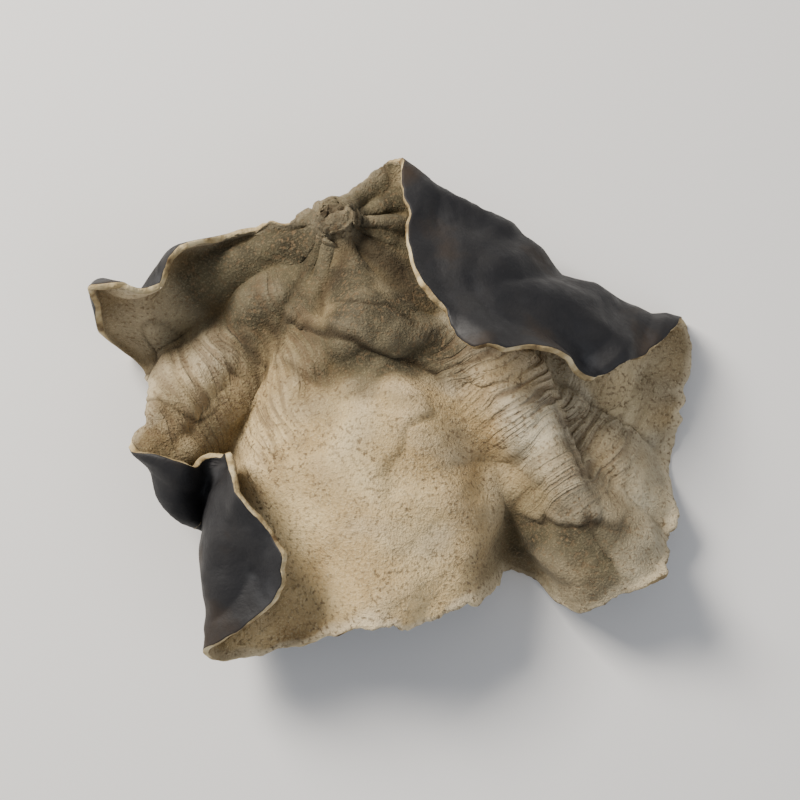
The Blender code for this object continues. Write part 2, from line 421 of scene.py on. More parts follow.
@dataclass(frozen=True)
class Fold:
    """One set of parallel folds that crosses the whole sheet as a rounded zigzag."""

    angle: float
    spacing: float
    height: float
    phase: float


@dataclass(frozen=True)
class Crumples:
    """Crisp folds and flat facets over the whole sheet, quiet near the foot and on the front lobe."""

    folds: tuple[Fold, ...] = (
        Fold(15, 21, 1.5, 0.6),
        Fold(75, 17, 1.1, 2.1),
        Fold(128, 12, 0.6, 4.0),
        Fold(160, 9, 0.3, 1.3),
    )
    crest: float = 0.985  # 1 is a knife edge, 0 a round wave
    warp: Triple = (5.0, 17.0, 3.0)  # how far, over what size, and which noise
    patch: Triple = (0.5, 1.6, 1.6)  # share, contrast and size of the patches
    start: float = 18.0  # folds reach full height this far from the foot
    ridge: Pair = (284.0, 62.0)  # the ridge that runs down from the foot
    ridge_start: float = 40.0  # and on that ridge, this far
    calm: Patch = Patch(0.75, 266, 40, 30, 12)  # the front lobe
    gathers: tuple[tuple[float, ...], ...] = ((7, 0.45, 2.2, 2, 1.0), (13, 0.3, 1.7, 3, 0.0))
    gathered: Patch = Patch(1, start=0, over=6, end=8, fade=20)

    def height(self, flat: Flat) -> Array:
        """Says how far the crumples lift the sheet.

        Args:
            flat: the flat places.

        Returns:
            The lift off the sheet, in millimetres.
        """
        s, angle = flat.s, flat.angle
        far, size, seed = self.warp
        warp = far * flat.noise(size, seed, 2)
        share, contrast, patch = self.patch
        folded = np.zeros_like(s)
        for f in self.folds:
            across = flat.x * cos(radians(f.angle)) + flat.y * sin(radians(f.angle)) + warp
            wave = np.arcsin(self.crest * np.sin(2 * pi * across / f.spacing + f.phase)) / np.arcsin(self.crest)
            shown = flat.noise(patch * f.spacing, 10 * f.phase + f.spacing)
            folded += f.height * wave * smooth(share + contrast * shown)
        gathers = sum(height * drifting(angle, waves, *drift) for waves, height, *drift in self.gathers)
        start = self.start + (self.ridge_start - self.start) * nearness(angle, *self.ridge)
        return folded * smooth(s / start) * (1 - self.calm.at(s, angle)) + gathers * self.gathered.at(s, angle)


@dataclass(frozen=True)
class Curl:
    """A margin turned over beyond a bent line: up shows the dark face from above, and down hides it."""

    angle: float
    reach: float
    bow: float
    along: float
    radius: float
    turn: float


@dataclass
class DriedSheet:
    """The whole dried form: the fan with its curled margins."""

    fan: Fan = field(default_factory=Fan)
    curls: tuple[Curl, ...] = (
        Curl(64, 9, 0.004, -38, 4.6, 168),
        Curl(201, 41, 0.008, 52, 4.6, 164),
        Curl(172, 39, 0.010, 22, 3.8, 85),
        Curl(117, 3.5, 0.009, 34, 3.8, 115),
        Curl(278, 77, 0.010, 8, 4.5, -70),
    )
    curl_base: float = 12.0  # a curl stands off the sheet's general run, taken over this distance
    curl_upright: float = 0.8  # and leans this much towards straight up

    def curled(self, flat: Flat) -> tuple[Flat, Array]:
        """Says where flat places go when the margin curls.

        Args:
            flat: the flat places.

        Returns:
            The new flat places, and how far off the sheet they stand.
        """
        lift = np.zeros_like(flat.x)
        for c in self.curls:
            out = (cos(radians(c.angle)), sin(radians(c.angle)))
            along = flat.x * -out[1] + flat.y * out[0] - c.along
            beyond = flat.x * out[0] + flat.y * out[1] - c.reach - c.bow * along**2
            over = np.maximum(beyond, 0)
            turn = radians(abs(c.turn))
            bent = np.minimum(over / c.radius, turn)
            straight = np.maximum(over - c.radius * turn, 0)
            moved = c.radius * np.sin(bent) + straight * cos(turn)
            lift = lift + np.sign(c.turn) * (c.radius * (1 - np.cos(bent)) + straight * sin(turn))
            shift = np.where(beyond > 0, moved - beyond, 0)
            flat = flat.moved(out[0] * shift, out[1] * shift)
        return flat, lift

    def at(self, flat: Flat) -> Array:
        """Finds the dried place of flat places, before the crumples.

        Args:
            flat: the flat places.

        Returns:
            Points, one row of three a place.
        """
        flat, lift = self.curled(flat)
        base = self.curl_base
        across = self.fan.at(flat.moved(base, 0)) - self.fan.at(flat.moved(-base, 0))
        along = self.fan.at(flat.moved(0, base)) - self.fan.at(flat.moved(0, -base))
        away = unit(np.cross(across, along))
        away[..., 2] += self.curl_upright
        return self.fan.at(flat) + unit(away) * lift[..., None]


# ---------------------------------------------------------------------------------------------- finishes


class Side(Enum):
    """Which part of the skin a face belongs to, by its material index."""

    FELT = 0
    SPORE = 1
    MARGIN = 2


Tree = bpy.types.NodeTree
Socket = bpy.types.NodeSocket


def feed(tree: Tree, made: bpy.types.Node, inputs: dict) -> None:
    """Links or sets a node's inputs.

    Args:
        tree: the material's node tree.
        made: the node.
        inputs: socket name or number to a value, or to an output socket that feeds it.
    """
    for name, value in inputs.items():
        if isinstance(value, Socket):
            tree.links.new(value, made.inputs[name])
        else:
            made.inputs[name].default_value = value


def node(tree: Tree, kind: str, inputs: dict | None = None, out: int | str = 0, **settings: object) -> Socket:
    """Adds one shader node with its settings and links.

    Args:
        tree: the material's node tree.
        kind: the node's type name, after its ShaderNode.
        inputs: as in feed. By number, a mix takes 0 how much, 6 of what is under and 7 over, and a range takes
            0 the value, 1 and 2 where it starts and ends, and 3 and 4 what it gives there.
        out: the output that is wanted, by name or number.
        settings: the node's own settings; stops are a colour ramp's pairs of place and sRGB hex.

    Returns:
        The wanted output socket.
    """
    made = tree.nodes.new("ShaderNode" + kind)
    stops = settings.pop("stops", ())
    for _ in stops[2:]:
        made.color_ramp.elements.new(0.5)
    for element, (place, colour) in zip(made.color_ramp.elements if stops else (), stops):
        element.position = place
        element.color = linear(colour)
    for name, value in settings.items():
        setattr(made, name, value)
    feed(tree, made, inputs or {})
    return made.outputs[out]


@dataclass(frozen=True)
class Finish:
    """One surface of the mushroom. Its patterns run through the solid, so that no fold stretches them."""

    name: str

    def material(self) -> bpy.types.Material:
        """Makes the material and wires it.

        Returns:
            The material.
        """
        made = bpy.data.materials.new(self.name)
        made.use_nodes = True
        tree = made.node_tree
        inputs = self.wire(tree, node(tree, "TexCoord", out="Object"))
        feed(tree, tree.nodes["Principled BSDF"], inputs)
        return made

    def wire(self, tree: Tree, place: Socket) -> dict[str, object]:
        """Wires the finish's patterns at a place in the solid, and gives the shader's inputs."""
        raise NotImplementedError


@dataclass(frozen=True)
class Felt(Finish):
    """Sterile upper side of a wood ear: a mat of short pale hairs, dried down onto leathery brown tissue.

    It gives the eye a matt, dusty cream that goes olive-brown towards the foot, partly with painted shade. Brown tissue
    shows as flecks between the hairs, painted shade darkens the creases, troughs and hollows, and the ridges and the
    margin are paler, partly rubbed hairs and partly painted highlight; the tufts carry painted highlight.
    """

    name: str = "dried_hairy_felt"
    cloud_mm: float = 13.0
    patch_mm: float = 7.0
    fleck_mm: float = 0.75  # bare spots; the hairs, 0.1 mm, are too fine to show, so tufts stand for them
    tuft_mm: float = 0.42
    wrinkle_mm: float = 1.25
    wrinkle_long_mm: float = 11.0
    most_grey: float = 0.75
    most_rubbed_and_edge_lit: float = 0.62
    trough_shade: float = 0.55
    crease_shade: float = 0.85
    trough_relief_mm: float = -0.40
    fleck_relief_mm: float = -0.12
    tuft_relief_mm: float = 0.36

    def wire(self, tree: Tree, place: Socket) -> dict[str, object]:
        """Wires the hairs' colours, their relief and their roughness.

        Args:
            tree: the material's node tree.
            place: where a point is in the solid.

        Returns:
            The shader's inputs.
        """
        slanted = node(tree, "Attribute", out="Vector", attribute_name="wrinkle_place")
        hollow, creased, browned, wrinkled, greyed, rubbed_and_edge_lit = (
            node(tree, "Attribute", out="Fac", attribute_name=name)
            for name in ("hollow", "creased", "browned", "wrinkled", "greyed", "rubbed_and_edge_lit")
        )
        grains = ((self.cloud_mm, 4, 0.5), (self.patch_mm, 5, 0.6), (self.fleck_mm, 2, 0.5), (self.tuft_mm, 2, 0.6))
        cloud, patch, flecks, tufts = (
            node(tree, "TexNoise", {"Vector": place, "Scale": 1 / (mm * MM), "Detail": detail, "Roughness": rough})
            for mm, detail, rough in grains
        )

        # Long thin ridges with a trough between them.
        stretch = (1 / self.wrinkle_mm, 1 / self.wrinkle_long_mm, 0.0)
        across = node(tree, "VectorMath", {0: slanted, 1: stretch}, operation="MULTIPLY")
        ridges = node(tree, "TexNoise", {"Vector": across, "Scale": 1.0, "Detail": 2.0, "Distortion": 0.25})
        trough = node(tree, "MapRange", {0: ridges, 1: 0.38, 2: 0.54, 3: 1.0, 4: 0.0})
        trough = node(tree, "Math", {0: trough, 1: wrinkled}, operation="MULTIPLY")

        # Bare flecks in patches, where hairs are worn off. Painted highlight on the tufts,
        # and paler ridges, partly rubbed hairs and partly painted highlight.
        worn = node(tree, "MapRange", {0: browned, 3: 1.0, 4: 0.3})
        bare = node(tree, "MapRange", {0: patch, 1: 0.66, 2: 0.36, 3: 0.35, 4: 0.95})
        fleck = node(tree, "MapRange", {0: flecks, 1: 0.52, 2: 0.68})
        tuft_highlight = node(tree, "MapRange", {0: tufts, 1: 0.50, 2: 0.72, 4: 0.36})
        # Paler ridges: partly rubbed hairs, partly painted highlight.
        ridge = node(tree, "MapRange", {0: hollow, 1: -0.25, 2: -1.70, 4: 0.40})
        # Painted shade: the felt is darkened in the hollows.
        hollow_shade = node(tree, "MapRange", {0: hollow, 1: 0.15, 2: 1.50, 4: 0.60})
        grey, rim, shade, line = (
            node(tree, "Math", {0: share, 1: most}, operation="MULTIPLY")
            for share, most in (
                (greyed, self.most_grey),
                (rubbed_and_edge_lit, self.most_rubbed_and_edge_lit),
                (trough, self.trough_shade),
                (creased, self.crease_shade),
            )
        )
        # Ridges and margin paler, partly rubbed hairs and partly painted highlight; the tufts get painted highlight.
        pale = node(tree, "Math", {0: ridge, 1: rim}, operation="MAXIMUM")
        pale, fleck, tuft_highlight = (
            node(tree, "Math", {0: share, 1: by}, operation="MULTIPLY")
            for share, by in ((pale, worn), (fleck, bare), (tuft_highlight, worn))
        )

        # Clouds of sand and buff, and over them, in turn: grey, weathered and on the right lobe partly a painted
        # reflection, olive-brown, partly painted shade, paler ridges and margin, partly rubbed and partly painted
        # highlight, bare flecks, painted highlight on the tufts, and painted shade in the troughs, hollows and creases.
        sand = ((0.30, "#A2875D"), (0.50, "#C3A97B"), (0.70, "#DDC595"))
        greys = ((0.34, "#9C9580"), (0.66, "#C9C3AE"))
        olives = ((0.34, "#353022"), (0.66, "#5F5741"))
        base = node(tree, "ValToRGB", {0: cloud}, stops=sand)
        layers = (
            (grey, node(tree, "ValToRGB", {0: patch}, stops=greys)),
            (browned, node(tree, "ValToRGB", {0: patch}, stops=olives)),
            (pale, linear("#E0D0AF")),
            (fleck, linear("#6E5B42")),
            (tuft_highlight, linear("#E9D9B0")),
            (shade, linear("#64503A")),
            (hollow_shade, linear("#665436")),
            (line, linear("#392E1F")),
        )
        for share, over in layers:
            base = node(tree, "Mix", {0: share, 6: base, 7: over}, 2, data_type="RGBA")

        height = node(tree, "Math", {0: trough, 1: self.trough_relief_mm}, operation="MULTIPLY")
        for grain, relief in ((fleck, self.fleck_relief_mm), (tufts, self.tuft_relief_mm)):
            height = node(tree, "Math", {0: grain, 1: relief, 2: height}, operation="MULTIPLY_ADD")
        return {
            "Base Color": base,
            "Normal": node(tree, "Bump", {"Height": height, "Strength": 0.9, "Distance": MM}),
            "Roughness": node(tree, "MapRange", {0: tufts, 3: 0.82, 4: 0.98}),
            "Specular IOR Level": 0.25,
            "Sheen Weight": 0.10,
            "Sheen Roughness": 0.5,
            "Sheen Tint": linear("#EADCBE"),
        }


@dataclass(frozen=True)
class SporeFace(Finish):
    """Fertile lower side of a wood ear: a smooth waxy skin, shrunk and dried to something like horn.

    It gives the eye a near-black with a satin, slightly blue gloss. Brown shows where the skin is thin, and a grey
    bloom of spores lies in its hollows.
    """

    name: str = "dried_waxy_spore_face"
    cloud_mm: float = 13.0
    pucker_mm: float = 3.2
    pore_mm: float = 0.6
    pucker_relief_mm: float = 0.28
    pore_relief_mm: float = 0.07

    def wire(self, tree: Tree, place: Socket) -> dict[str, object]:
        """Wires the waxy skin's colour, its puckers and pores, and its gloss.

        Args:
            tree: the material's node tree.
            place: where a point is in the solid.

        Returns:
            The shader's inputs.
        """
        hollow = node(tree, "Attribute", out="Fac", attribute_name="hollow")
        cloud, pucker, pores = (
            node(tree, "TexNoise", {"Vector": place, "Scale": 1 / (mm * MM), "Detail": detail})
            for mm, detail in ((self.cloud_mm, 4.0), (self.pucker_mm, 4.0), (self.pore_mm, 2.0))
        )
        horn = ((0.34, "#18181B"), (0.52, "#222122"), (0.70, "#30261D"))
        base = node(tree, "ValToRGB", {0: cloud}, stops=horn)
        bloom = node(tree, "MapRange", {0: hollow, 1: 0.1, 2: 1.4, 4: 0.30})
        patchy = node(tree, "MapRange", {0: pucker, 1: 0.42, 2: 0.62})
        bloom = node(tree, "Math", {0: bloom, 1: patchy}, operation="MULTIPLY")
        height = node(tree, "Math", {0: pores, 1: self.pore_relief_mm}, operation="MULTIPLY")
        height = node(tree, "Math", {0: pucker, 1: self.pucker_relief_mm, 2: height}, operation="MULTIPLY_ADD")
        return {
            "Base Color": node(tree, "Mix", {0: bloom, 6: base, 7: linear("#4B4D51")}, 2, data_type="RGBA"),
            "Normal": node(tree, "Bump", {"Height": height, "Strength": 0.8, "Distance": MM}),
            "Roughness": node(tree, "MapRange", {0: pucker, 1: 0.3, 2: 0.7, 3: 0.52, 4: 0.76}),
            "Specular IOR Level": 0.36,
        }


@dataclass(frozen=True)
class MarginSkin(Finish):
    """Margin of the sheet: the felt wraps over the thin edge and is pale there, partly bleached and rubbed, partly
    painted highlight.

    It gives the eye a fine light line round the dark folds, broken where the hairs are gone.
    """

    name: str = "bleached_and_edge_lit_margin"
    worn_mm: float = 4.0
    speck_mm: float = 0.8

    def wire(self, tree: Tree, place: Socket) -> dict[str, object]:
        """Wires the margin's worn colour and its specks.

        Args:
            tree: the material's node tree.
            place: where a point is in the solid.

        Returns:
            The shader's inputs.
        """
        worn, specks = (
            node(tree, "TexNoise", {"Vector": place, "Scale": 1 / (mm * MM), "Detail": detail})
            for mm, detail in ((self.worn_mm, 4.0), (self.speck_mm, 2.0))
        )
        # Pale cream: partly bleached, rubbed felt and partly painted highlight along the edge.
        bleached_and_edge_lit = ((0.32, "#5F4C31"), (0.48, "#A8946C"), (0.66, "#D2C29B"))
        return {
            "Base Color": node(tree, "ValToRGB", {0: worn}, stops=bleached_and_edge_lit),
            "Normal": node(tree, "Bump", {"Height": specks, "Strength": 0.4, "Distance": MM}),
            "Roughness": node(tree, "MapRange", {0: specks, 3: 0.74, 4: 0.94}),
            "Specular IOR Level": 0.3,
        }


# ---------------------------------------------------------------------------------------------- the skin's relief


@dataclass(frozen=True)
class Crease:
    """One sharp fold line through flat points: a groove darkened with painted shade, and a step up to the sheet on its
    left.
    """

    points: Pairs
    width: float
    depth: float
    step: float
    run: float  # the step fades over this distance
    # how much painted shade darkens the groove
    dark: float
    low_side_brown: float = 0.0  # how brown the sheet is on its right
    taper: float = 0.25  # share of the line that fades at each end

    def offset(self, flat: Flat) -> tuple[Array, Array]:
        """Measures flat places against the line.

        Args:
            flat: the flat places.

        Returns:
            The distance from the line, above 0 on its left, and a taper, 0 at the line's ends.
        """
        nearest = np.full_like(flat.x, inf)
        side = np.ones_like(flat.x)
        along = np.zeros_like(flat.x)
        legs = len(self.points) - 1
        for k, ((ax, ay), (bx, by)) in enumerate(zip(self.points, self.points[1:])):
            dx, dy = bx - ax, by - ay
            t = np.clip(((flat.x - ax) * dx + (flat.y - ay) * dy) / (dx * dx + dy * dy), 0, 1)
            off_x, off_y = flat.x - ax - t * dx, flat.y - ay - t * dy
            away = np.hypot(off_x, off_y)
            nearer = away < nearest
            nearest = np.where(nearer, away, nearest)
            side = np.where(nearer, np.sign(dx * off_y - dy * off_x), side)
            along = np.where(nearer, (k + t) / legs, along)
        return nearest * side, smooth(along / self.taper) * smooth((1 - along) / self.taper)


class Sharp(NamedTuple):
    """What the sharp creases do: lift and depth in millimetres, painted shade in the grooves, and browner sheet on
    their low side.
    """

    lift: Array
    depth: Array
    dark: Array
    low_side_brown: Array


@dataclass(frozen=True)
class Skin:
    """What the two faces carry on top of the sheet's form, and where the felt changes colour."""

    creases: tuple[Crease, ...] = (
        # Under the bulge below the foot, the front lobe's facets, the pleats of the neck, and the right lobe's valleys.
        # Their grooves are darkened with painted shade.
        Crease(((-12, -15), (-8.6, -18.5), (2, -23), (12.9, -28), (18.2, -32.3), (21, -37)), 0.75, 0.45, 1.3, 5.0, 1.0),
        Crease(((-12, -25), (-3.3, -30.6), (6, -35.5), (12, -38.5), (17, -43)), 1.4, 0.10, 1.2, 6.0, 0.35),
        Crease(((18, -37), (13, -44), (9, -50), (8, -60)), 0.9, 0.15, -0.7, 6.0, 0.30),
        Crease(((2, -2), (1, -9), (-2, -15), (-1, -22)), 1.8, 0.55, 0.5, 4.0, 0.75),
        Crease(((-3, -3), (-7, -9), (-10, -17), (-16, -26)), 0.8, 0.35, 0.6, 4.0, 0.60),
        Crease(((3, -1), (7, -5), (12, -10), (15, -18)), 2.4, 0.55, 0.9, 4.0, 0.90),
        Crease(((30, -33), (40, -40), (47, -52), (50, -66)), 0.8, 0.25, 0.7, 5.0, 0.45),
        Crease(((36, -24), (48, -30), (60, -32), (70, -40)), 0.8, 0.25, 0.6, 5.0, 0.45),
        # The scalloped step across the right lobe, with the sheet browner below it.
        Crease(
            ((29, -55), (32, -58.5), (36, -59), (38, -57.5), (42, -59.5), (46, -58.5), (48, -56.5), (53, -56),
             (57, -51)),
            0.7, 0.35, 0.9, 5.0, 0.80, 0.8,
        ),  # fmt: skip
        # The sharpest of the left lobe's wrinkles.
        Crease(((-24, -19), (-22, -25), (-19, -31)), 0.55, 0.25, 0.5, 1.2, 0.55),
        Crease(((-20, -17), (-18.5, -24), (-14, -34)), 0.60, 0.35, 0.6, 1.3, 0.75),
        Crease(((-17, -19), (-15.5, -25), (-12, -32)), 0.50, 0.30, 0.5, 1.1, 0.65),
        Crease(((-15, -16), (-12.5, -23), (-8, -31)), 0.60, 0.35, 0.6, 1.3, 0.75),
        Crease(((-11, -20), (-9, -25), (-5, -30)), 0.50, 0.25, 0.5, 1.1, 0.55),
    )
    crease_warp: Pairs = ((1.6, 7.0), (0.5, 1.8))  # how far, over what size
    low_side_brown_run: float = 1.6  # the brown on the low side fades over this many times its step's run

    # Thin creases meander over the sheet, but not beside the foot, on the front lobe or near the margin, and are
    # darkened with painted shade.
    thin_size: float = 15.0
    thin_width: float = 0.035  # in the noise's own units: about 0.8 mm
    thin_depth: float = 0.35
    thin_dark: float = 0.8
    thin_patches: Triple = (0.35, 1.8, 19.5)  # share, contrast and size
    thin_inside: Patch = Patch(1, start=6, over=10, end=52, fade=14)
    front_lobe: Patch = Patch(1, 266, 42, 28, 10)

    # Fine wrinkles cross the left and the right lobe.
    left_wrinkles: float = -30.0  # the left lobe's run down this line, from straight down
    parting: float = 277.0  # between them and the right lobe's
    wrinkle_reach: float = 35.0  # how far from the foot the right lobe's are measured along their length
    wrinkle_swing: Pair = (2.5, 14.0)  # how far they wander, over what size
    wrinkle_gaps: Pair = (12.0, 0.35)  # their size, and how much is left in them
    wrinkle_mm: float = 2.4
    wrinkle_height: float = 0.13
    wrinkle_patches: tuple[Patch, ...] = (Patch(1.6, 240, 40, 13, 8, 44, 14), Patch(1.6, 318, 30, 28, 8, 62, 14))

    # Olive-brown: the foot and under the bulge, partly their own colour and partly painted shade, the wing, the left
    # lobe, its notch, which is painted shade, and the right lobe's two parts.
    brown_foot: Patch = Patch(1, end=17, fade=20)
    brown_patches: tuple[Patch, ...] = (
        # under the bulge: partly painted shade
        Patch(0.85, 290, 40, 20, 4, 34, 8),
        Patch(0.55, 195, 36),
        Patch(0.50, 230, 30),
        # the left lobe's notch: painted shade
        Patch(0.55, 246, 13, 28, 12),
        Patch(0.60, 302, 24, 56, 8),
        Patch(0.20, 335, 40),
    )
    brown_edges: Pairs = ((5.0, 9.0), (0.25, 14.0))  # wander in mm and radians, over
    brown_uneven: Triple = (0.95, 0.5, 6.0)  # share, contrast and size
    brown_clouds: Pair = (0.35, 18.0)  # share and size

    # Grey: the right lobe, partly weathered and partly a painted reflection, the weathered wing, and the back.
    grey_patches: tuple[Patch, ...] = (Patch(1, 320, 46), Patch(0.8, 200, 50), Patch(0.7, 80, 90))
    grey_edges: Pair = (0.2, 12.0)  # wander in radians, over
    grey_clouds: Triple = (-0.18, 0.7, 10.0)  # share, contrast and size

    # The felt's own relief, in millimetres, and then the spore face's.
    pucker_size: float = 3.6
    pucker_height: float = 0.22
    pucker_patch: Patch = Patch(1, start=3, over=8)
    knob: Pair = (2.2, 2.4)  # how high, and what size its lumps are
    knob_patch: Patch = Patch(1, end=1, fade=5)
    gather_height: float = 0.30
    gather_patch: Patch = Patch(1, start=1, over=2, end=12, fade=14)
    deepest: float = 0.65
    vein_depth: float = 0.35
    vein_size: Pair = (16.0, 9.0)  # veins a radian, and how long they run
    vein_patch: Patch = Patch(1, start=5, over=10)
    spore_crease: float = 0.15

    def sharp(self, flat: Flat) -> Sharp:
        """Adds up what the sharp creases do, along lines that wander a little.

        Args:
            flat: the flat places.

        Returns:
            The four effects, one value a place.
        """
        for far, size in self.crease_warp:
            flat = flat.moved(far * flat.noise(size, 71, 2), far * flat.noise(size, 83, 2))
        lift, depth, dark, low_side_brown = np.zeros((4, len(flat.x)))
        for c in self.creases:
            off, taper = c.offset(flat)
            high, low = np.maximum(off, 0) / c.run, np.minimum(off, 0) / (self.low_side_brown_run * c.run)
            groove = taper * np.exp(-((off / c.width) ** 2))
            lift += c.step * taper * smooth(0.5 + off / (3 * c.width)) * np.exp(-high)
            depth += c.depth * groove
            dark += c.dark * groove
            low_side_brown += c.low_side_brown * taper * smooth(0.5 - off / (2 * c.width)) * np.exp(low)
        return Sharp(lift, np.minimum(depth, 1), np.minimum(dark, 1), low_side_brown)

    def creased(self, flat: Flat) -> Array:
        """Draws the thin creases and the sharp ones, for their relief and for the painted shade that darkens them.

        Args:
            flat: the flat places.

        Returns:
            1 along the middle of a crease, 0 off them.
        """
        s, angle = flat.s, flat.angle
        line = np.exp(-((flat.noise(self.thin_size, 24, 2) / self.thin_width) ** 2))
        share, contrast, size = self.thin_patches
        shown = smooth(share + contrast * flat.noise(size, 57))
        inside = self.thin_inside.at(s, angle) * (1 - self.front_lobe.at(s, angle))
        return np.clip(self.thin_dark * line * shown * inside + self.sharp(flat).dark, 0, 1)

    def wrinkle_place(self, flat: Flat) -> Array:
        """Gives each flat place its coordinates for the wrinkles: slanted on the left lobe, round the foot elsewhere.

        Args:
            flat: the flat places.

        Returns:
            One row a place: millimetres across the wrinkles, millimetres along them, and 0.
        """
        lean = radians(self.left_wrinkles)
        angle = np.mod(flat.angle - pi / 2, 2 * pi)
        left = angle < radians(self.parting - 90)
        across = np.where(left, flat.x * cos(lean) - flat.y * sin(lean), flat.s)
        along = np.where(left, flat.x * sin(lean) + flat.y * cos(lean), angle * self.wrinkle_reach)
        far, size = self.wrinkle_swing
        return np.stack([across + far * flat.noise(size, 5, 2), along, np.zeros_like(along)], -1)

    def wrinkled(self, flat: Flat) -> Array:
        """Says where the sheet carries fine wrinkles.

        Args:
            flat: the flat places.

        Returns:
            0 to 1, one value a place.
        """
        size, least = self.wrinkle_gaps
        full = smooth(2 * flat.noise(size, 41) + 0.8)
        lobes = sum(patch.at(flat.s, flat.angle) for patch in self.wrinkle_patches)
        return np.clip(lobes, 0, 1) * (least + (1 - least) * full)

    def browned(self, flat: Flat) -> Array:
        """Says how far the felt is browned, in patches with uneven edges: partly painted shade at the foot and under
        the bulge, and painted shade in the left lobe's notch.

        Args:
            flat: the flat places.

        Returns:
            0 for cream to 1 for olive-brown, one value a place.
        """
        (far, over), (turn, wide) = self.brown_edges
        s = flat.s + far * flat.noise(over, 77, 3)
        angle = flat.angle + turn * flat.noise(wide, 78, 2)
        share, contrast, size = self.brown_uneven
        uneven = share + contrast * flat.noise(size, 21, 2)
        foot = np.clip(uneven, 0.65, 1) * self.brown_foot.at(s, angle)
        lobes = sum(patch.at(s, angle) for patch in self.brown_patches)
        share, size = self.brown_clouds
        clouds = share * np.clip(flat.noise(size, 12, 2), 0, 1)
        return np.clip(foot + lobes + clouds + self.sharp(flat).low_side_brown * np.clip(uneven, 0.5, 1), 0, 1)

    def greyed(self, flat: Flat) -> Array:
        """Says how far the felt has weathered from warm sand to grey: most on the right lobe, where it is partly a
        painted reflection, and the wing.

        Args:
            flat: the flat places.

        Returns:
            0 to 1, one value a place.
        """
        turn, wide = self.grey_edges
        angle = flat.angle + turn * flat.noise(wide, 19, 2)
        lobes = sum(patch.at(flat.s, angle) for patch in self.grey_patches)
        share, contrast, size = self.grey_clouds
        return np.clip(lobes + contrast * flat.noise(size, 44, 2) + share, 0, 1)

    def felt(self, flat: Flat) -> Array:
        """Works out the felt's own relief: wrinkles, creases, puckers and the rough nub of the foot.

        Args:
            flat: the flat places.

        Returns:
            The relief, in millimetres.
        """
        s, angle = flat.s, flat.angle
        sharp = self.sharp(flat)
        wave = np.sin(2 * pi * self.wrinkle_place(flat)[:, 0] / self.wrinkle_mm)
        relief = self.wrinkle_height * wave * self.wrinkled(flat)
        relief = relief - self.thin_depth * (self.creased(flat) - sharp.dark) - sharp.depth
        relief = relief + self.pucker_height * flat.noise(self.pucker_size, 29, 3) * self.pucker_patch.at(s, angle)
        relief = relief + self.gather_height * drifting(angle, 13, 2.0, 2, 0.6) * self.gather_patch.at(s, angle)
        high, size = self.knob
        relief = relief + high * flat.noise(size, 91, 3) * self.knob_patch.at(s, angle)
        return np.maximum(relief, -self.deepest)

    def spore(self, flat: Flat, share: Array) -> Array:
        """Works out the spore face's own relief: low veins that run out under the pleats, and soft creases.

        Args:
            flat: the flat places.
            share: their share of the way to the margin.

        Returns:
            The relief towards the felt, in millimetres.
        """
        s, angle = flat.s, flat.angle
        a_radian, long = self.vein_size
        vein = np.maximum(0.25 - np.abs(Flat(angle * a_radian, s / long).noise(1.0, 61)), 0)
        inside = self.vein_patch.at(s, angle) * (1 - smooth((share - 0.8) / 0.2))
        return -(self.vein_depth * vein + self.spore_crease * self.creased(flat)) * inside


# ---------------------------------------------------------------------------------------------- the fruit body


